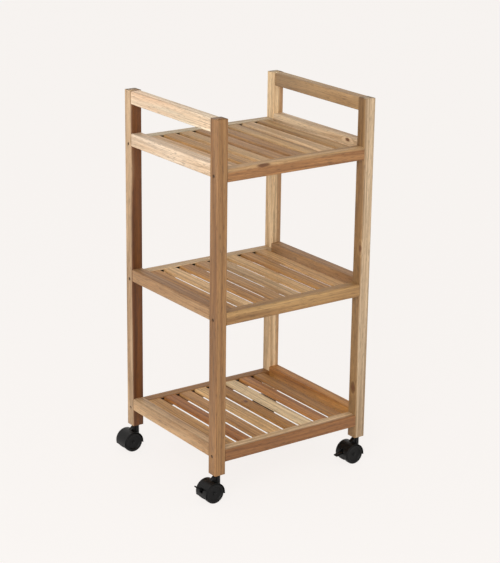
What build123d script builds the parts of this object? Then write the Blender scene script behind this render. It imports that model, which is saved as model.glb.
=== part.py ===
from build123d import *
import os
from math import cos, radians, sin

# A three-shelf wooden utility cart on four swivelling twin-wheel castors, in millimetres.
# X runs along the front rails, Y from the front to the back and Z up from the floor.

# Whole cart
cart_width = 378.0
cart_depth = 334.0
post_length = 723.0
castor_height = 56.0

# Sections of the sticks, and how their edges are eased
post_section = 25.0
rail_height = 25.0
apron_height = 26.5
handle_height = 27.0
handle_thickness = 22.5
stick_round = 2.5
rail_round = 4.5
stick_chamfer = 1.0

# Shelves: heights are those of the rails' centre lines
shelf_centres = {"lower": 95.0, "middle": 382.0, "top": 669.0}
apron_lift = 9.0
slat_count = 8
slat_pitch = 39.0
slat_width = 29.0
slat_thickness = 7.0
slat_drop = 1.0
slat_chamfer = 1.6
slat_end_gap = 0.2
tongue_width = 24.0
tongue_length = 7.5
tongue_thickness = 3.8
groove_height = 4.0
groove_depth = 8.0

# Glued tenons at the ends of the aprons and handles. They stay above the rails' screws
tenon_thickness = 10.0
tenon_length = 12.0
apron_tenon_height = 15.0
apron_tenon_rise = 8.5
handle_tenon_height = 17.0
handle_tenon_rise = 5.0
glue_gap = 0.1

# Screws that hold the rails to the posts, sunk in the posts' outer faces
head_recess_radius = 3.8
recess_sides = 12
head_recess_depth = 8.0
screw_head_width = 6.4
screw_head_height = 3.5
screw_radius = 2.5
screw_length = 50.0
screw_sides = 6
bore_sides = 8

# Castor stem: hexagonal collar under the post, journal in the hood's neck
stem_radius = 4.0
stem_thread_length = 16.0
stem_bottom_z = 40.0
collar_width = 12.0
collar_height = 1.3
running_gap = 0.06

# Castor: the axle trails behind the stem, towards -X
trail = 15.0
wheel_radius = 21.0
wheel_inner_y = 5.2
wheel_outer_y = 17.6
axle_radius = 2.5
axle_half_length = 15.6
hood_radius = 23.0
hood_wall = 1.3
shell_flats = 12
hood_half_width = 18.0
hood_start = -6.0
hood_end = 197.0
web_half_width = 4.5
web_underside = [(-12.0, -4.0), (-6.0, -8.0), (6.0, -8.0), (12.0, -4.0)]
lip_size = 2.2
neck_width = 13.0
neck_chamfer = 3.5
neck_gap = 0.4

# Brake pedal: its pivot is measured from the axle
pivot_x = -15.5
pivot_z = 5.5
pedal_pin_radius = 1.5
pedal_hub_radius = 3.2
pedal_length = 23.5
pedal_thickness = 2.8
pedal_up_angle = 148.0
pedal_travel = 45.0
pedal_arm_half_width = 2.6
pedal_tread_half_width = 4.8
pedal_tread_start = 6.0
pocket_half_width = 3.0
window_half_width = 5.5

# Places worked out from the above
post_x = (cart_width - post_section) / 2
post_y = (cart_depth - post_section) / 2
rail_length = cart_width - 2 * post_section
side_length = cart_depth - 2 * post_section
frame_top = castor_height + post_length
handle_x = (cart_width - handle_thickness) / 2
axle_z = wheel_radius

# The castors trail to the left, so the frame stands a little right of the middle of the footprint
pedal_reach = trail - pivot_x - pedal_length * cos(radians(pedal_up_angle))
frame_x = (post_x + pedal_reach - cart_width / 2) / 2

corners = {
    "front_left": (-post_x, -post_y),
    "front_right": (post_x, -post_y),
    "back_left": (-post_x, post_y),
    "back_right": (post_x, post_y),
}
sides = {"left": -1, "right": 1}
faces = {"front": -1, "back": 1}
all_corners = [(-1, -1), (-1, 1), (1, -1), (1, 1)]
top_corners = [(-1, 1), (1, 1)]


def save(name, shapes):
    """Writes one sub-part, a single solid or a list of separate ones, in the cart's frame."""
    shape = Compound(shapes) if isinstance(shapes, list) else shapes
    export_step(Pos(frame_x, 0, 0) * shape, f"parts/{name}.step")


def rod(radius, length, axis):
    """A round rod centred on the origin, lying along the named axis."""
    turn = {"x": Rot(0, 90, 0), "y": Rot(90, 0, 0), "z": Rot(0, 0, 0)}[axis]
    return turn * Cylinder(radius, length)


def section(width, height, rounded, radius, chamfered=stick_chamfer):
    """A stick's cross-section. Corners are (side, level) pairs: some are rounded, the rest chamfered."""
    outline = Rectangle(width, height)
    picked = [spot for spot in outline.vertices() if corner_of(spot) in rounded]
    if picked:
        outline = fillet(picked, radius)
    square = [
        spot
        for spot in outline.vertices()
        if abs(spot.X) > width / 2 - 0.01 and abs(spot.Y) > height / 2 - 0.01
    ]
    if square:
        outline = chamfer(square, chamfered)
    return outline


def corner_of(spot):
    return (1 if spot.X > 0 else -1, 1 if spot.Y > 0 else -1)


def along_x(outline, length):
    return extrude(Plane.YZ * outline, length / 2, both=True)


def along_y(outline, length):
    """Extrudes a profile drawn in the XZ plane to both sides of that plane."""
    return extrude(Plane.XZ * outline, length / 2, both=True)


def apron_bottom(centre):
    return centre - rail_height / 2 + apron_lift


def tenons_of_side():
    """The centre height, height and distance from the middle of each tenon of a side frame."""
    handle_z = frame_top - handle_height + handle_tenon_rise + handle_tenon_height / 2
    found = [(handle_z, handle_tenon_height, handle_x)]
    for centre in shelf_centres.values():
        apron_z = apron_bottom(centre) + apron_tenon_rise + apron_tenon_height / 2
        found.append((apron_z, apron_tenon_height, post_x))
    return found


# Posts

def post(x, y):
    """A square post with mortises for its side frame and holes for three screws and the castor's stem."""
    side = 1 if x > 0 else -1
    face = 1 if y > 0 else -1
    body = extrude(section(post_section, post_section, all_corners, stick_round), post_length)
    body = Pos(x, y, castor_height) * body
    inner_y = y - face * post_section / 2
    for height, tall, from_middle in tenons_of_side():
        mortise = Box(
            tenon_thickness + 2 * glue_gap,
            2 * tenon_length + 1,
            tall + 2 * glue_gap,
        )
        body -= Pos(side * from_middle, inner_y, height) * mortise
    for centre in shelf_centres.values():
        recess = along_x(RegularPolygon(head_recess_radius, recess_sides), 2 * head_recess_depth)
        body -= Pos(side * cart_width / 2, y, centre) * recess
        body -= Pos(x, y, centre) * along_x(screw_shank(glue_gap), post_section)
    stem_hole = extrude(stem_hole_outline(), stem_thread_length + 1)
    body -= Pos(x, y, castor_height) * stem_hole
    return body


def stem_hole_outline():
    return RegularPolygon(stem_radius + glue_gap, bore_sides, major_radius=False)


# Side frames: handles and aprons, tenoned and glued between the posts

def cross_piece(thickness, height, x, bottom, tenon_rise, tenon_height):
    """A handle or apron lying along Y, with a tenon at each end."""
    body = along_y(section(thickness, height, [], stick_round, 1.8), side_length)
    body = Pos(x, 0, bottom + height / 2) * body
    tenon = Box(tenon_thickness, side_length + 2 * tenon_length, tenon_height)
    return body + Pos(x, 0, bottom + tenon_rise + tenon_height / 2) * tenon


# Shelf panels: a front and a back rail with tongued slats between them

def rail(face, centre):
    """A rail with a rounder outer arris, grooved for the slats and bored at both ends for its screws."""
    body = along_x(section(post_section, rail_height, [(face, 1)], rail_round), rail_length)
    groove_z = rail_height / 2 - slat_drop - slat_thickness / 2
    groove = Box(rail_length - post_section, 2 * groove_depth, groove_height)
    body -= Pos(0, -face * post_section / 2, groove_z) * groove
    hole_depth = screw_length + head_recess_depth - post_section + 1
    hole = along_x(screw_shank(glue_gap), 2 * hole_depth)
    for side in sides.values():
        body -= Pos(side * rail_length / 2, 0, 0) * hole
    return Pos(0, face * post_y, centre) * body


def slat():
    """A slat with eased edges and a thinner tongue at each end."""
    outline = Rectangle(slat_width, slat_thickness)
    outline = chamfer(outline.vertices().group_by(Axis.Y)[-1], slat_chamfer)
    board = along_y(outline, side_length - 2 * slat_end_gap)
    return board + Box(tongue_width, side_length + 2 * tongue_length, tongue_thickness)


def slats(centre):
    top = centre + rail_height / 2 - slat_drop
    first_x = -slat_pitch * (slat_count - 1) / 2
    board = slat()
    return [
        Pos(first_x + slat_pitch * number, 0, top - slat_thickness / 2) * board
        for number in range(slat_count)
    ]


# Screws of the rails

def screw_shank(gap=0.0):
    """The shank's outline. It has flat sides to save faces: the thread is left out."""
    return RegularPolygon(screw_radius + gap, screw_sides)


def joint_bolt():
    """A hexagon-headed screw along X, its head on the origin's -X side."""
    head = extrude(Plane.YZ * RegularPolygon(screw_head_width / 2, 6, major_radius=False), -screw_head_height)
    shank = extrude(Plane.YZ * screw_shank(), screw_length)
    return head + shank


def joint_bolts():
    placed = []
    for centre in shelf_centres.values():
        for face in faces.values():
            for side in sides.values():
                head_x = side * (cart_width / 2 - head_recess_depth)
                turn = Rot(0, 0, 0) if side < 0 else Rot(0, 0, 180)
                placed.append(Pos(head_x, face * post_y, centre) * turn * joint_bolt())
    return placed


# Castors, in their own frame: the stem's axis is Z, the floor is Z = 0

def stem():
    """The steel stem: thread above, hexagonal collar under the post, journal inside the neck."""
    collar_z = castor_height - collar_height
    journal = extrude(Circle(stem_radius), collar_z - stem_bottom_z)
    collar = extrude(RegularPolygon(collar_width / 2, 6, major_radius=False), collar_height)
    thread = extrude(RegularPolygon(stem_radius, bore_sides), stem_thread_length)
    return Pos(0, 0, stem_bottom_z) * journal + Pos(0, 0, collar_z) * collar + Pos(0, 0, castor_height) * thread


def bore_outline(radius, gap=running_gap):
    return RegularPolygon(radius + gap, bore_sides, major_radius=False)


def polar(radius, angle):
    return (radius * cos(radians(angle)), radius * sin(radians(angle)))


def flats(radius):
    """Corners of the flat-sided curve that lies round a circle over the hood's angle."""
    step = (hood_end - hood_start) / shell_flats
    corner = radius / cos(radians(step / 2))
    return [polar(corner, hood_start + step * number) for number in range(shell_flats + 1)]


def at_axle(shape):
    return Pos(-trail, 0, axle_z) * shape


def hood(braked):
    """The moulded hood: barrel shell, web between the wheels, neck and, if braked, a window."""
    outer = CenterArc((0, 0), hood_radius, hood_start, hood_end - hood_start)
    inner = Polyline(*flats(hood_radius - hood_wall))
    rim = [Line(outer @ 0, inner @ 0), Line(outer @ 1, inner @ 1)]
    shell_profile = make_face([outer, inner, *rim])
    for angle in (hood_start, hood_end):
        lip = Pos(hood_radius - hood_wall / 2, 0) * Rectangle(lip_size, lip_size)
        shell_profile += Rot(0, 0, angle) * lip
    body = along_y(shell_profile, 2 * hood_half_width)
    web_reach = hood_radius - hood_wall / 2
    web = make_face(Polyline(*flats(web_reach), *web_underside, close=True))
    neck_top = castor_height - collar_height - neck_gap - axle_z
    neck_section = chamfer(Rectangle(neck_width, neck_width).vertices(), neck_chamfer)
    neck = Pos(trail, 0, 0) * extrude(neck_section, neck_top)
    gusset = make_face(
        Polyline(
            (trail, neck_top - 3),
            (trail - neck_width / 2, neck_top - 3),
            polar(hood_radius, 90),
            polar(web_reach, 90),
            polar(web_reach / 2, 45),
            close=True,
        )
    )
    body += neck - rod(web_reach, 2 * hood_half_width, "y")
    body += along_y(web, 2 * web_half_width)
    body += along_y(gusset, 2 * web_half_width)
    body -= along_y(bore_outline(axle_radius, 0), 4 * web_half_width)
    body = at_axle(body)
    bore_bottom = stem_bottom_z - neck_gap
    bore = extrude(bore_outline(stem_radius), castor_height)
    body -= Pos(0, 0, bore_bottom) * bore
    if braked:
        body -= pedal_clearance()
    return body


def at_pivot(shape):
    return at_axle(Pos(pivot_x, 0, pivot_z) * shape)


def pedal_clearance():
    """The pocket in the web, the window in the shell and the pin's hole."""
    low = pedal_hub_radius + 0.5
    high = low + 2
    depth = hood_radius + pivot_x + 1
    pocket = Pos((low - depth) / 2, 0, (high - low) / 2) * Box(low + depth, 2 * pocket_half_width, low + high)
    window_start = pedal_tread_start / 2
    window = Pos(-(window_start + depth) / 2, 0, (high - low) / 2) * Box(
        depth - window_start, 2 * window_half_width, low + high
    )
    pin_hole = along_y(bore_outline(pedal_pin_radius, 0), 4 * web_half_width)
    return at_pivot(pocket + window + pin_hole)


def pedal(pressed):
    """The brake pedal: hub on its pin, arm through the window and a tread to step on."""
    tread_length = pedal_length - pedal_tread_start
    tread = Pos(pedal_tread_start + tread_length / 2, 0) * Rectangle(tread_length, pedal_thickness)
    tread = chamfer(tread.vertices().group_by(Axis.X)[-1], pedal_thickness / 4)
    arm = Pos(pedal_tread_start, 0) * Rectangle(2 * pedal_tread_start, pedal_thickness)
    body = along_y(Circle(pedal_hub_radius) + arm, 2 * pedal_arm_half_width)
    body += along_y(tread, 2 * pedal_tread_half_width)
    body -= along_y(bore_outline(pedal_pin_radius), 4 * pedal_arm_half_width)
    angle = pedal_up_angle + (pedal_travel if pressed else 0)
    return at_pivot(Rot(0, -angle, 0) * body)


def wheel(side):
    """One wheel of the pair, with a blind bore that hides the axle's end."""
    width = wheel_outer_y - wheel_inner_y
    disc = Pos(0, side * (wheel_inner_y + width / 2), 0) * rod(wheel_radius, width, "y")
    bore = along_y(bore_outline(axle_radius), 2 * (axle_half_length + neck_gap))
    return at_axle(disc - bore)


def castor(name, x, y, braked, pressed):
    """Writes the pieces of one castor at its post."""
    place = Pos(x, y, 0)
    save(f"{name}_castor_stem", place * stem())
    save(f"{name}_castor_hood", place * hood(braked))
    save(f"{name}_castor_axle", place * at_axle(rod(axle_radius, 2 * axle_half_length, "y")))
    save(f"{name}_wheel_1", place * wheel(-1))
    save(f"{name}_wheel_2", place * wheel(1))
    if braked:
        save(f"{name}_brake_pedal", place * pedal(pressed))
        pin = rod(pedal_pin_radius, 2 * web_half_width, "y")
        save(f"{name}_pedal_pin", place * at_pivot(pin))


os.makedirs("parts", exist_ok=True)

for name, (x, y) in corners.items():
    save(f"{name}_post", post(x, y))
    castor(name, x, y, braked=name.startswith("front"), pressed=name == "front_right")

for name, side in sides.items():
    handle = cross_piece(
        handle_thickness,
        handle_height,
        side * handle_x,
        frame_top - handle_height,
        handle_tenon_rise,
        handle_tenon_height,
    )
    save(f"{name}_handle", handle)
    for shelf, centre in shelf_centres.items():
        apron = cross_piece(
            post_section,
            apron_height,
            side * post_x,
            apron_bottom(centre),
            apron_tenon_rise,
            apron_tenon_height,
        )
        save(f"{shelf}_{name}_apron", apron)

for shelf, centre in shelf_centres.items():
    for name, face in faces.items():
        save(f"{shelf}_{name}_rail", rail(face, centre))
    save(f"{shelf}_slats", slats(centre))

save("joint_bolts", joint_bolts())
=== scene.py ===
from math import cos, radians, sin

import bmesh
import bpy
from mathutils import Matrix, Vector


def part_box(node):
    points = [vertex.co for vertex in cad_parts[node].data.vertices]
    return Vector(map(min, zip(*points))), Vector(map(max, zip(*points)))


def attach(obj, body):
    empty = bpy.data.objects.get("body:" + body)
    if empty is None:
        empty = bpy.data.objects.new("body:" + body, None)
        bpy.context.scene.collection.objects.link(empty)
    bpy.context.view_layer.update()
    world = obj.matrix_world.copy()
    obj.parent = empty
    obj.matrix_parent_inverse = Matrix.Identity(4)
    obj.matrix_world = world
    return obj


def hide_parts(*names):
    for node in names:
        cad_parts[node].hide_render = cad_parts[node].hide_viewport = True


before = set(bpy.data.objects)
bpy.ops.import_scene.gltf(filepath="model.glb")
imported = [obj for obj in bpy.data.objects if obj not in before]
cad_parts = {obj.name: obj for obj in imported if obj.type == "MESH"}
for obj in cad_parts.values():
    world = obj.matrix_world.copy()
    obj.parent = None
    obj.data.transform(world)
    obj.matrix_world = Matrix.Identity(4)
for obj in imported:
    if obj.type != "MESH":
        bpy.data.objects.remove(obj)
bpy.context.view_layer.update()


# Posts
# Four sticks of oiled acacia, planed square and eased along their edges by sanding. They are drilled for the
# joint bolts, whose holes show on the outer side faces, and every post was cut from a different board.


def linear(code):
    """An sRGB hex value as linear red, green, blue and alpha."""
    parts = [int(code[start : start + 2], 16) / 255 for start in (1, 3, 5)]
    return [part / 12.92 if part <= 0.04045 else ((part + 0.055) / 1.055) ** 2.4 for part in parts] + [1]


def add(tree, kind, inputs=(), **settings):
    """Adds a node with its settings, and sets or links its inputs."""
    node = tree.nodes.new(kind)
    for name, value in settings.items():
        setattr(node, name, value)
    for socket, value in dict(inputs).items():
        if isinstance(value, bpy.types.NodeSocket):
            tree.links.new(value, node.inputs[socket])
        else:
            node.inputs[socket].default_value = value
    return node


def oiled_acacia(
    name, grain, centre, sapwood, heartwood, heart_towards=(0, 0), heart_from=0.0, heart_fade=6.0,
    seed=0, knots=(), contrast=1.0, holes=(), groove=0,
):
    """Planed and oiled acacia. Dull, with a soft sheen: brown heartwood and straw-coloured sapwood, streaks
    that run with the grain where the saw cut through the growth rings, short dark pores and some knots.
    Lengths are in millimetres, measured from the piece's centre as (along the grain, across, across)."""
    material = bpy.data.materials.new(name)
    material.use_nodes = True
    tree = material.node_tree
    shader = tree.nodes["Principled BSDF"]

    def vector(operation, first, second):
        return add(tree, "ShaderNodeVectorMath", {0: first, 1: second}, operation=operation).outputs[0]

    def number_from(operation, first, second=(0, 0, 0)):
        return add(tree, "ShaderNodeVectorMath", {0: first, 1: second}, operation=operation).outputs["Value"]

    def maths(operation, *values):
        return add(tree, "ShaderNodeMath", dict(enumerate(values)), operation=operation).outputs[0]

    def blended(share, first, second, how="MIX"):
        mix = {0: share, 6: first, 7: second}
        return add(tree, "ShaderNodeMix", mix, data_type="RGBA", blend_type=how).outputs[2]

    # The grain's own axes: X along it, Y and Z across it
    place = add(tree, "ShaderNodeTexCoord").outputs["Object"]
    place = vector("SUBTRACT", place, centre)
    axes = add(tree, "ShaderNodeSeparateXYZ", {0: place}).outputs
    turned = {"X": "XYZ", "Y": "YXZ", "Z": "ZXY"}[grain]
    turned = {spot: axes[axis] for spot, axis in enumerate(turned)}
    board = add(tree, "ShaderNodeCombineXYZ", turned).outputs[0]
    cut = Vector((seed * 0.37, seed * 0.91, seed * 0.53))
    if isinstance(heartwood, list):
        number = add(tree, "ShaderNodeAttribute", attribute_name="slat_number").outputs["Fac"]
        cut_number = vector("MULTIPLY", number, (1.7, 1.7, 1.7))
        sample = vector("ADD", board, cut_number)
        sample = vector("ADD", sample, cut)
    else:
        number = None
        sample = vector("ADD", board, cut)

    def grain_noise(per_metre_along, per_metre_across, detail):
        stretch = (per_metre_along, per_metre_across, per_metre_across)
        spread = vector("MULTIPLY", sample, stretch)
        return add(tree, "ShaderNodeTexNoise", {"Vector": spread, "Scale": 1, "Detail": detail})

    def span(value, low, high, start, end):
        reach = {"Value": value, "From Min": low, "From Max": high, "To Min": start, "To Max": end}
        return add(tree, "ShaderNodeMapRange", reach, interpolation_type="SMOOTHSTEP").outputs[0]

    def times(first, second):
        return maths("MULTIPLY", first, second)

    # Growth rings about a pith well outside the stick, wandering a little along the board
    wander = grain_noise(2.2, 14, 2).outputs["Color"]
    wander = vector("SUBTRACT", wander, (0.5, 0.5, 0.5))
    wander = vector("MULTIPLY", wander, (0, 0.02, 0.02))
    pith = (0, 0.045 + 0.011 * (seed % 5), 0.06 - 0.027 * (seed % 4))
    from_pith = vector("SUBTRACT", board, pith)
    from_pith = vector("ADD", from_pith, wander)
    from_pith = vector("MULTIPLY", from_pith, (0, 1, 1))
    radius = number_from("LENGTH", from_pith)
    knot_shade = None
    for along, across, over, long, wide in knots:
        spot = [length / 1000 for length in (along, across, over)]
        to_knot = vector("SUBTRACT", board, spot)
        shape = (1000 / long, 1000 / wide, 1000 / wide)
        to_knot = vector("MULTIPLY", to_knot, shape)
        reach = number_from("LENGTH", to_knot)
        rough_edge = grain_noise(120, 120, 2).outputs["Fac"]
        reach = maths("MULTIPLY_ADD", rough_edge, 0.5, reach)
        swirl = span(reach, 0.4, 3.2, 0.012, 0)
        radius = maths("ADD", radius, swirl)
        shade = span(reach, 0.75, 1.45, 1, 0)
        knot_shade = shade if knot_shade is None else maths("MAXIMUM", knot_shade, shade)
    ring_place = add(tree, "ShaderNodeSeparateXYZ", {0: sample}).outputs[0]
    ring_place = times(ring_place, 1.4)
    ring_width = 0.005
    ring_count = times(radius, 1 / ring_width)
    ring_spot = add(tree, "ShaderNodeCombineXYZ", {0: ring_count, 1: ring_place}).outputs[0]
    if number is not None:
        ring_spot = vector("ADD", ring_spot, cut_number)
    rings = add(tree, "ShaderNodeTexNoise", {"Vector": ring_spot, "Scale": 1, "Detail": 4, "Roughness": 0.6})

    # Fibres and pores are drawn about twice their real size, or they would not show from three metres
    fibres = grain_noise(9, 520, 3).outputs["Fac"]
    pores = span(grain_noise(55, 900, 1).outputs["Fac"], 0.34, 0.42, 1, 0)
    drift = grain_noise(3.5, 26, 2).outputs["Fac"]

    # Where the heartwood is
    side = Vector((0, *heart_towards))
    if side.length:
        side.normalize()
        depth = number_from("DOT_PRODUCT", board, side)
        depth = times(depth, 1000 / heart_fade)
        wavy = grain_noise(2.5, 12, 3).outputs["Fac"]
        depth = maths("MULTIPLY_ADD", wavy, 2.2, depth)
        heart = span(depth, heart_from / heart_fade + 0.7, heart_from / heart_fade + 1.5, 0, 1)
    else:
        heart = span(drift, 0.3, 0.7, 0, 1)

    tone = span(rings.outputs["Fac"], 0.5 - 0.22 / contrast, 0.5 + 0.2 / contrast, 0, 1)
    late_wood, early_wood = (0.64, 0.56, 0.48, 1), (1.22, 1.24, 1.26, 1)
    woods = []
    for finish in (sapwood, heartwood):
        if isinstance(finish, list):
            ramp = add(tree, "ShaderNodeValToRGB")
            ramp.color_ramp.interpolation = "CONSTANT"
            while len(ramp.color_ramp.elements) < len(finish):
                ramp.color_ramp.elements.new(0.999)
            for place_on in range(len(finish)):
                ramp.color_ramp.elements[place_on].position = place_on / len(finish)
            for place_on, code in enumerate(finish):
                ramp.color_ramp.elements[place_on].color = linear(code)
            middle = maths("ADD", number, 0.5)
            tree.links.new(times(middle, 1 / len(finish)), ramp.inputs[0])
            mean = ramp.outputs[0]
        else:
            mean = linear(finish)
        late = blended(1, mean, late_wood, "MULTIPLY")
        early = blended(1, mean, early_wood, "MULTIPLY")
        woods.append(blended(tone, late, early))
    colour = blended(heart, *woods)
    light = times(span(fibres, 0.3, 0.7, 0.84, 1.16), span(drift, 0.3, 0.7, 0.92, 1.08))
    light = times(light, span(pores, 0, 1, 1, 0.64))
    grey = add(tree, "ShaderNodeCombineColor", {0: light, 1: light, 2: light}).outputs[0]
    colour = blended(1, colour, grey, "MULTIPLY")
    if knot_shade is not None:
        knot_brown = linear("#6B4426")
        colour = blended(knot_shade, colour, knot_brown)
    # Painted shade in the drilled holes: the colour inside each hole and just past its rim is darkened,
    # standing in for the shade that falls into the recess
    painted_recess_shade = linear("#26150B")
    shade_within, shade_fades_beyond = 0.0038, 0.0048
    for spot in holes:
        to_hole = number_from("DISTANCE", board, [length / 1000 for length in spot])
        painted_hole_shade = span(to_hole, shade_within, shade_fades_beyond, 1, 0)
        colour = blended(painted_hole_shade, colour, painted_recess_shade)
    # Painted shade inside a rail's groove, on the side that the sign of groove gives: the groove's inside is
    # darkened in the colour, standing in for the shade in the narrow slot between the slats
    groove_half_length, groove_half_depth, groove_half_height = 0.1515, 0.0041, 0.0021
    groove_middle_across, groove_middle_over = 0.0085, 0.008
    if groove:
        spot = add(tree, "ShaderNodeSeparateXYZ", {0: board}).outputs
        along = maths("COMPARE", spot[0], 0, groove_half_length)
        across = maths("COMPARE", spot[1], groove * groove_middle_across, groove_half_depth)
        over = maths("COMPARE", spot[2], groove_middle_over, groove_half_height)
        # The mask of the painted shade in the groove
        inside = times(times(along, across), over)
        colour = blended(inside, colour, painted_recess_shade)
    tree.links.new(colour, shader.inputs["Base Color"])
    tree.links.new(span(fibres, 0.3, 0.7, 0.5, 0.62), shader.inputs["Roughness"])
    relief = maths("SUBTRACT", fibres, pores)
    bump = add(tree, "ShaderNodeBump", {"Strength": 0.5, "Distance": 0.0002, "Height": relief})
    tree.links.new(bump.outputs[0], shader.inputs["Normal"])
    return material


def finished(node, body, material, easing=0.0, crease=32):
    """A smooth-shaded copy of a CAD node that stands for it. Its triangles are joined, its sharp edges can be
    eased, and edges that turn more than the crease angle in degrees stay crisp."""
    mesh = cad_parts[node].data.copy()
    shape = bmesh.new()
    shape.from_mesh(mesh)
    bmesh.ops.remove_doubles(shape, verts=shape.verts, dist=0.00001)
    shape.to_mesh(mesh)
    shape.free()
    mesh.materials.clear()
    mesh.materials.append(material)
    piece = bpy.data.objects.new(f"finished_{node}", mesh)
    bpy.context.collection.objects.link(piece)
    if easing:
        rounded = piece.modifiers.new("easing", "BEVEL")
        rounded.width = easing
        rounded.segments = 3
        rounded.angle_limit = radians(30)
    mesh.shade_smooth()
    mesh.set_sharp_from_angle(angle=radians(crease))
    weighted = piece.modifiers.new("weighted normals", "WEIGHTED_NORMAL")
    weighted.keep_sharp = True
    bpy.context.view_layer.update()
    seen = piece.evaluated_get(bpy.context.evaluated_depsgraph_get())
    piece.data = bpy.data.meshes.new_from_object(seen)
    piece.modifiers.clear()
    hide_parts(node)
    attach(piece, body)


def middle_of(node):
    low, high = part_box(node)
    return (low + high) / 2


# Across a post the first direction is X and the second Y, so (-1, 0) is its left face and (0, -1) its front
# The darker heartwood side of the front right post (its inner left face) and of the back left post (its front
# face, which looks into the cart) is partly the wood's own colour and partly painted shade
post_boards = {
    "front_left": dict(sapwood="#9A7148", heartwood="#9A7247",
                       heart_towards=(1, -0.4), heart_from=-4, seed=3),
    "front_right": dict(sapwood="#C5AB8A", heartwood="#93724A",
                        heart_towards=(-1, 0.25), heart_from=7, seed=6,
                        knots=[(54, -12, -9, 8, 4), (-251, -12, -1, 9, 5)]),
    "back_left": dict(sapwood="#CAAB87", heartwood="#683D17", heart_towards=(0.15, -1), heart_from=9, seed=9),
    "back_right": dict(sapwood="#EACB9F", heartwood="#B58E64",
                       heart_towards=(1, -0.5), heart_from=7, seed=13),
}
# The bolts' heights from the middle of a post, and how far from its middle the sunk part of a hole is
bolt_heights = (-322.5, -35.5, 251.5)
hole_middle = 8.5
for corner, board in post_boards.items():
    node = f"{corner}_post"
    side = -1 if corner.endswith("left") else 1
    holes = [(height, side * hole_middle, 0) for height in bolt_heights]
    material = oiled_acacia(f"oiled acacia {corner} post", "Z", middle_of(node), holes=holes, **board)
    finished(node, "frame", material, crease=50)


# Handles and side aprons
# Flat acacia bars, tenoned and glued between a front and a back post, so that each side of the cart is one
# ladder. The aprons stand above the shelf as a low lip.

# Across these the first direction is X and the second is Z, so (-1, 0) is the left face and (0, 1) the top
side_boards = {
    "left_handle": dict(sapwood="#F3E5C9", heartwood="#F2D1B0", seed=1, contrast=0.7),
    "right_handle": dict(sapwood="#BF9F76", heartwood="#A58259", seed=2, contrast=0.9),
    "top_left_apron": dict(sapwood="#F3DEC5", heartwood="#DDC09F", seed=4, contrast=0.7),
    "middle_left_apron": dict(sapwood="#B79168", heartwood="#A07952", seed=5),
    "lower_left_apron": dict(sapwood="#CFAE86", heartwood="#B0865A", seed=7),
    "top_right_apron": dict(sapwood="#E1C6A2", heartwood="#C2A27C", seed=8, knots=[(-112, -12, 8, 8, 4)]),
    "middle_right_apron": dict(sapwood="#AE875C", heartwood="#926A42", seed=10),
    "lower_right_apron": dict(sapwood="#C78F4A", heartwood="#A46D35", seed=11),
}
for node, board in side_boards.items():
    material = oiled_acacia(f"oiled acacia {node.replace('_', ' ')}", "Y", middle_of(node), **board)
    finished(node, "frame", material, crease=50)


# Front and back rails
# Square acacia rails, bolted between the posts. A groove along the inner face takes the slats, and the outer
# top arris is rounded more than the others.

# Across a rail the first direction is Y and the second is Z, so (-1, 0) is its front face and (0, 1) its top
rail_boards = {
    "top_front_rail": dict(sapwood="#BD986B", heartwood="#A07246",
                           heart_towards=(-0.5, -1), heart_from=-2, seed=12,
                           knots=[(-82, -12, 10, 16, 5)]),
    "top_back_rail": dict(sapwood="#D7C5A5", heartwood="#BBA383", seed=14),
    "middle_front_rail": dict(sapwood="#B6905E", heartwood="#9F784A", seed=15),
    "middle_back_rail": dict(sapwood="#E1C69F", heartwood="#C3A279", seed=16),
    "lower_front_rail": dict(sapwood="#D8B88D", heartwood="#906137", heart_towards=(-0.35, -1), heart_from=-8,
                             heart_fade=5, seed=17),
    "lower_back_rail": dict(sapwood="#A37644", heartwood="#8C6233", seed=18),
}
for node, board in rail_boards.items():
    groove = 1 if "front" in node else -1
    title = f"oiled acacia {node.replace('_', ' ')}"
    material = oiled_acacia(title, "X", middle_of(node), groove=groove, **board)
    finished(node, "frame", material, crease=50)


# Slats
# Thin acacia boards, eight to a shelf, rounded along their edges. The tongue at each end is glued into the
# rails' grooves. They are cut from mixed boards, so no two on a shelf have the same colour.

slat_width = 0.029
slat_tones = {
    "top": ["#DDB789", "#C79B63", "#BF996A", "#B28759", "#A77D4F", "#BA9567", "#D5B389", "#BA9463"],
    "middle": ["#BE8D52", "#EAC38E", "#B0824C", "#B78E5E", "#BD9C71", "#D5AD77", "#B7884E", "#C69C68"],
    "lower": ["#BF9156", "#A3692F", "#BA8C56", "#D4AD77", "#A57539", "#E4CA9F", "#B97F43", "#A2733D"],
}


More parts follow.
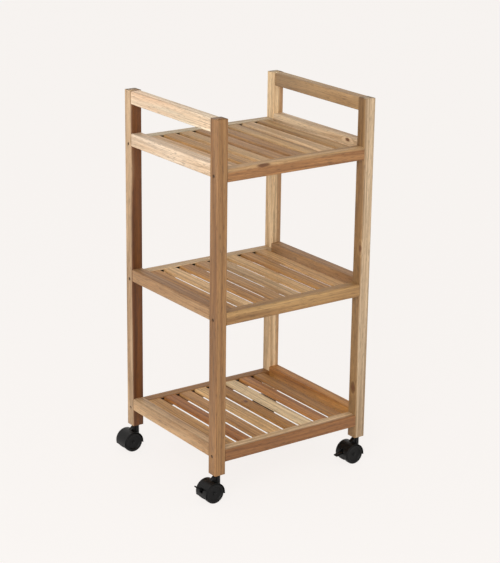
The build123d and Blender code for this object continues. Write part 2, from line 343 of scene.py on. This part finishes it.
def slat_row(node, material):
    """A geometry tree that lays a row of tongued slats side by side, each with its own number."""
    tree = bpy.data.node_groups.new(f"{node} row", "GeometryNodeTree")
    sizes = {
        "Count": 8, "Pitch": 0.039, "Width": slat_width, "Thickness": 0.007, "Length": 0.2836,
        "Easing": 0.0025, "Tongue Width": 0.024, "Tongue Thickness": 0.0038, "Tongue Length": 0.299,
    }
    for name, value in sizes.items():
        kind = "NodeSocketInt" if isinstance(value, int) else "NodeSocketFloat"
        tree.interface.new_socket(name, in_out="INPUT", socket_type=kind)
    tree.interface.new_socket("Slats", in_out="OUTPUT", socket_type="NodeSocketGeometry")
    given = add(tree, "NodeGroupInput").outputs

    def bar(width, thickness, length, easing):
        """A bar along Y, made by sweeping its rounded section along a line."""
        half = add(tree, "ShaderNodeMath", {0: length, 1: 0.5}, operation="MULTIPLY").outputs[0]
        front = add(tree, "ShaderNodeMath", {0: half, 1: -1}, operation="MULTIPLY").outputs[0]
        start = add(tree, "ShaderNodeCombineXYZ", {1: front}).outputs[0]
        end = add(tree, "ShaderNodeCombineXYZ", {1: half}).outputs[0]
        path = add(tree, "GeometryNodeCurvePrimitiveLine", {"Start": start, "End": end}).outputs[0]
        section = add(tree, "GeometryNodeCurvePrimitiveQuadrilateral", {"Width": width, "Height": thickness})
        section = section.outputs[0]
        if easing is not None:
            section = add(tree, "GeometryNodeFilletCurve", {"Curve": section, "Radius": easing, "Count": 5},
                          mode="POLY").outputs[0]
        sweep = {"Curve": path, "Profile Curve": section, "Fill Caps": True}
        return add(tree, "GeometryNodeCurveToMesh", sweep).outputs[0]

    slat = bar(given["Width"], given["Thickness"], given["Length"], given["Easing"])
    tongue = bar(given["Tongue Width"], given["Tongue Thickness"], given["Tongue Length"], None)
    whole = add(tree, "GeometryNodeJoinGeometry")
    tree.links.new(slat, whole.inputs[0])
    tree.links.new(tongue, whole.inputs[0])
    step = add(tree, "ShaderNodeCombineXYZ", {0: given["Pitch"]}).outputs[0]
    row = add(tree, "GeometryNodeMeshLine", {"Count": given["Count"], "Offset": step}).outputs[0]
    laid = add(tree, "GeometryNodeInstanceOnPoints", {"Points": row, "Instance": whole.outputs[0]}).outputs[0]
    index = add(tree, "GeometryNodeInputIndex").outputs[0]
    numbering = {"Geometry": laid, "Name": "slat_number", "Value": index}
    numbered = add(tree, "GeometryNodeStoreNamedAttribute", numbering, data_type="FLOAT",
                   domain="INSTANCE").outputs[0]
    real = add(tree, "GeometryNodeRealizeInstances", {"Geometry": numbered}).outputs[0]
    wooden = add(tree, "GeometryNodeSetMaterial", {"Geometry": real, "Material": material}).outputs[0]
    add(tree, "NodeGroupOutput", {0: wooden})
    return tree, sizes


def grown(name, tree, sizes):
    """Runs a geometry tree and keeps its result as a plain mesh."""
    piece = bpy.data.objects.new(name, bpy.data.meshes.new(name))
    bpy.context.collection.objects.link(piece)
    maker = piece.modifiers.new("maker", "NODES")
    maker.node_group = tree
    for item in tree.interface.items_tree:
        if item.in_out == "INPUT" and item.name in sizes:
            maker[item.identifier] = sizes[item.name]
    seen = piece.evaluated_get(bpy.context.evaluated_depsgraph_get())
    mesh = bpy.data.meshes.new_from_object(seen)
    piece.modifiers.remove(maker)
    piece.data = mesh
    return piece


for shelf, tones in slat_tones.items():
    node = f"{shelf}_slats"
    low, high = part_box(node)
    centre = (low + high) / 2
    first = Vector((low.x + slat_width / 2, centre.y, centre.z))
    material = oiled_acacia(f"oiled acacia {shelf} slats", "Y", centre, tones, tones, seed=len(shelf) * 5,
                            contrast=1.15, knots=[(25, 19, 3, 8, 5)] if shelf == "lower" else [])
    tree, sizes = slat_row(node, material)
    row = grown(f"finished_{node}", tree, sizes)
    row.data.transform(Matrix.Translation(first))
    row.data.shade_smooth()
    row.data.set_sharp_from_angle(angle=radians(32))
    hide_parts(node)
    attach(row, "frame")


# Joint bolts
# Blackened hexagon-headed bolts that pull the posts onto the rails. Their heads sit deep in the drilled
# holes, so only a dark spot of each shows.


def plated_steel(name, dark, bright):
    """Rolled and cut steel with a thin dip coat, cloudy where the coat is thicker."""
    material = bpy.data.materials.new(name)
    material.use_nodes = True
    tree = material.node_tree
    shader = tree.nodes["Principled BSDF"]
    shader.inputs["Metallic"].default_value = 1
    place = add(tree, "ShaderNodeTexCoord").outputs["Object"]
    patches = add(tree, "ShaderNodeTexNoise", {"Vector": place, "Scale": 400, "Detail": 3}).outputs["Fac"]
    ramp = add(tree, "ShaderNodeValToRGB", {0: patches})
    ramp.color_ramp.elements[0].color = linear(dark)
    ramp.color_ramp.elements[1].color = linear(bright)
    tree.links.new(ramp.outputs[0], shader.inputs["Base Color"])
    rough = {"Value": patches, "To Min": 0.28, "To Max": 0.45}
    tree.links.new(add(tree, "ShaderNodeMapRange", rough).outputs[0], shader.inputs["Roughness"])
    return material


finished("joint_bolts", "frame", plated_steel("blackened steel", "#17120F", "#2A221C"))


# Castors
# Moulded twin-wheel castors: a hooded nylon body that swivels on a steel stem, with two nylon wheels on an
# axle. The two front ones have a brake pedal at the back of the hood.


def moulded_nylon(name, code, rough):
    """Black nylon, injection moulded: dull with a fine spark-eroded texture."""
    material = bpy.data.materials.new(name)
    material.use_nodes = True
    tree = material.node_tree
    shader = tree.nodes["Principled BSDF"]
    shader.inputs["Specular IOR Level"].default_value = 0.22
    place = add(tree, "ShaderNodeTexCoord").outputs["Object"]
    grit = add(tree, "ShaderNodeTexNoise", {"Vector": place, "Scale": 2500, "Detail": 2}).outputs["Fac"]
    cloud = add(tree, "ShaderNodeTexNoise", {"Vector": place, "Scale": 90, "Detail": 3}).outputs["Fac"]
    ramp = add(tree, "ShaderNodeValToRGB", {0: cloud})
    ramp.color_ramp.elements[0].color = linear(code)
    ramp.color_ramp.elements[1].color = [part * 1.5 for part in linear(code)[:3]] + [1]
    tree.links.new(ramp.outputs[0], shader.inputs["Base Color"])
    reach = {"Value": cloud, "To Min": rough - 0.06, "To Max": rough + 0.08}
    tree.links.new(add(tree, "ShaderNodeMapRange", reach).outputs[0], shader.inputs["Roughness"])
    bump = add(tree, "ShaderNodeBump", {"Strength": 0.25, "Distance": 0.0001, "Height": grit})
    tree.links.new(bump.outputs[0], shader.inputs["Normal"])
    return material


def turned_wheel(node, side, material):
    """A wheel turned about its axle: crowned tread, dished outer face with a ring and a centre boss, plain
    inside. The profile is a list of (radius, distance from the castor's middle) in millimetres."""
    outer, inner = 17.6, 5.2
    profile = [
        (0.0, outer - 0.5), (2.6, outer - 0.3), (3.2, outer - 0.9), (3.4, outer - 2.2), (4.6, outer - 2.4),
        (13.4, outer - 2.4), (14.4, outer - 2.1), (14.8, outer - 1.2), (15.4, outer - 0.3), (16.2, outer),
        (19.2, outer), (20.0, outer - 0.25), (20.6, outer - 0.9), (20.85, outer - 1.8), (21.0, outer - 4.0),
        (21.0, inner + 4.0), (20.85, inner + 1.6), (20.5, inner + 0.7), (19.8, inner + 0.15), (19.0, inner),
        (2.6, inner), (2.6, 16.0), (0.0, 16.0),
    ]
    low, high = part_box(node)
    middle = (low + high) / 2
    shape = bmesh.new()
    spots = [shape.verts.new((radius / 1000, 0, 0)) for radius, _ in profile]
    for spot, (_, across) in zip(spots, profile):
        spot.co.y = side * (across - (outer + inner) / 2) / 1000
    lines = [shape.edges.new(pair) for pair in zip(spots, spots[1:])]
    bmesh.ops.spin(shape, geom=spots + lines, cent=(0, 0, 0), axis=(0, 1, 0), angle=radians(360), steps=96,
                   use_merge=True)
    bmesh.ops.remove_doubles(shape, verts=shape.verts, dist=0.000005)
    bmesh.ops.recalc_face_normals(shape, faces=shape.faces)
    bmesh.ops.translate(shape, verts=shape.verts, vec=middle)
    mesh = bpy.data.meshes.new(f"turned_{node}")
    shape.to_mesh(mesh)
    shape.free()
    mesh.materials.append(material)
    mesh.shade_smooth()
    mesh.set_sharp_from_angle(angle=radians(50))
    piece = bpy.data.objects.new(f"turned_{node}", mesh)
    bpy.context.collection.objects.link(piece)
    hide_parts(node)
    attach(piece, node)


zinc = plated_steel("zinc-plated steel", "#8E9196", "#C3C6C8")
hood_nylon = moulded_nylon("moulded black nylon hood", "#040404", 0.38)
wheel_nylon = moulded_nylon("moulded black nylon wheel", "#050505", 0.46)
for corner in post_boards:
    finished(f"{corner}_castor_stem", "frame", zinc)
    finished(f"{corner}_castor_hood", f"{corner}_castor", hood_nylon, easing=0.0004)
    finished(f"{corner}_castor_axle", f"{corner}_castor", zinc)
    for number, side in ((1, -1), (2, 1)):
        turned_wheel(f"{corner}_wheel_{number}", side, wheel_nylon)
for corner in ("front_left", "front_right"):
    finished(f"{corner}_brake_pedal", f"{corner}_brake_pedal", hood_nylon, easing=0.0004)
    finished(f"{corner}_pedal_pin", f"{corner}_castor", zinc)


# Studio
# A plain pale floor that runs flat out of sight, one large soft light from the left and a pale sky.

backdrop_colour = linear("#FBF7F4")


def studio_floor():
    """Pale painted floor. It shows the backdrop's colour to the camera and still takes a faint shadow."""
    material = bpy.data.materials.new("pale studio floor")
    material.use_nodes = True
    tree = material.node_tree
    shader = tree.nodes["Principled BSDF"]
    shader.inputs["Base Color"].default_value = backdrop_colour
    shader.inputs["Roughness"].default_value = 0.9
    shader.inputs["Specular IOR Level"].default_value = 0
    output = tree.nodes["Material Output"]
    glow = add(tree, "ShaderNodeEmission", {"Color": backdrop_colour, "Strength": 1.0}).outputs[0]
    rays = add(tree, "ShaderNodeLightPath").outputs
    watched = {0: rays["Is Camera Ray"], 1: rays["Is Glossy Ray"]}
    seen = add(tree, "ShaderNodeMath", watched, operation="MAXIMUM").outputs[0]
    share = add(tree, "ShaderNodeMath", {0: seen, 1: 0.9}, operation="MULTIPLY").outputs[0]
    mixed = add(tree, "ShaderNodeMixShader", {0: share, 1: shader.outputs[0], 2: glow}).outputs[0]
    tree.links.new(mixed, output.inputs["Surface"])
    return material


floor_mesh = bpy.data.meshes.new("studio_floor")
reach = 40
floor_mesh.from_pydata([(-reach, -reach, 0), (reach, -reach, 0), (reach, reach, 0), (-reach, reach, 0)], [],
                       [(0, 1, 2, 3)])
floor_mesh.materials.append(studio_floor())
floor = bpy.data.objects.new("studio_floor", floor_mesh)
bpy.context.collection.objects.link(floor)

world = bpy.data.worlds.new("pale studio")
bpy.context.scene.world = world
world.use_nodes = True
sky = world.node_tree
rays = add(sky, "ShaderNodeLightPath").outputs
seen = add(sky, "ShaderNodeMath", {0: rays["Is Camera Ray"], 1: rays["Is Glossy Ray"]}, operation="MAXIMUM")
lit = add(sky, "ShaderNodeBackground", {"Color": (1, 1, 1, 1), "Strength": 0.6}).outputs[0]
shown = add(sky, "ShaderNodeBackground", {"Color": backdrop_colour, "Strength": 1}).outputs[0]
mixed = add(sky, "ShaderNodeMixShader", {0: seen.outputs[0], 1: lit, 2: shown}).outputs[0]
sky.links.new(mixed, sky.nodes["World Output"].inputs["Surface"])

softbox = bpy.data.lights.new("softbox", "AREA")
softbox.shape = "DISK"
softbox.size = 2.4
softbox.energy = 60
lamp = bpy.data.objects.new("softbox", softbox)
bpy.context.collection.objects.link(lamp)
lamp_place, lamp_target = Vector((-2.2, -2.0, 1.6)), Vector((0, 0, 0.4))
lamp_turn = (lamp_place - lamp_target).to_track_quat("Z", "Y").to_matrix().to_4x4()
lamp.matrix_world = Matrix.Translation(lamp_place) @ lamp_turn


# Camera
# Placed as the photograph's was, found from the cart's edges.

yaw, pitch, roll = radians(-35.32), radians(-18.08), radians(0.77)
forward = Vector((-sin(yaw) * cos(pitch), cos(yaw) * cos(pitch), sin(pitch)))
level = Vector((cos(yaw), sin(yaw), 0))
upward = level.cross(forward)
right = level * cos(roll) + upward * sin(roll)
up = upward * cos(roll) - level * sin(roll)
camera = bpy.data.objects.new("camera", bpy.data.cameras.new("camera"))
bpy.context.collection.objects.link(camera)
camera.data.sensor_width = 36
camera.data.lens = 111.74
camera.data.clip_end = 100
turn = Matrix((right, up, -forward)).transposed().to_4x4()
camera_place = (-1.9561, -2.7987, 1.5034)
camera.matrix_world = Matrix.Translation(camera_place) @ turn
bpy.context.scene.camera = camera
bpy.context.scene.view_settings.view_transform = "Standard"
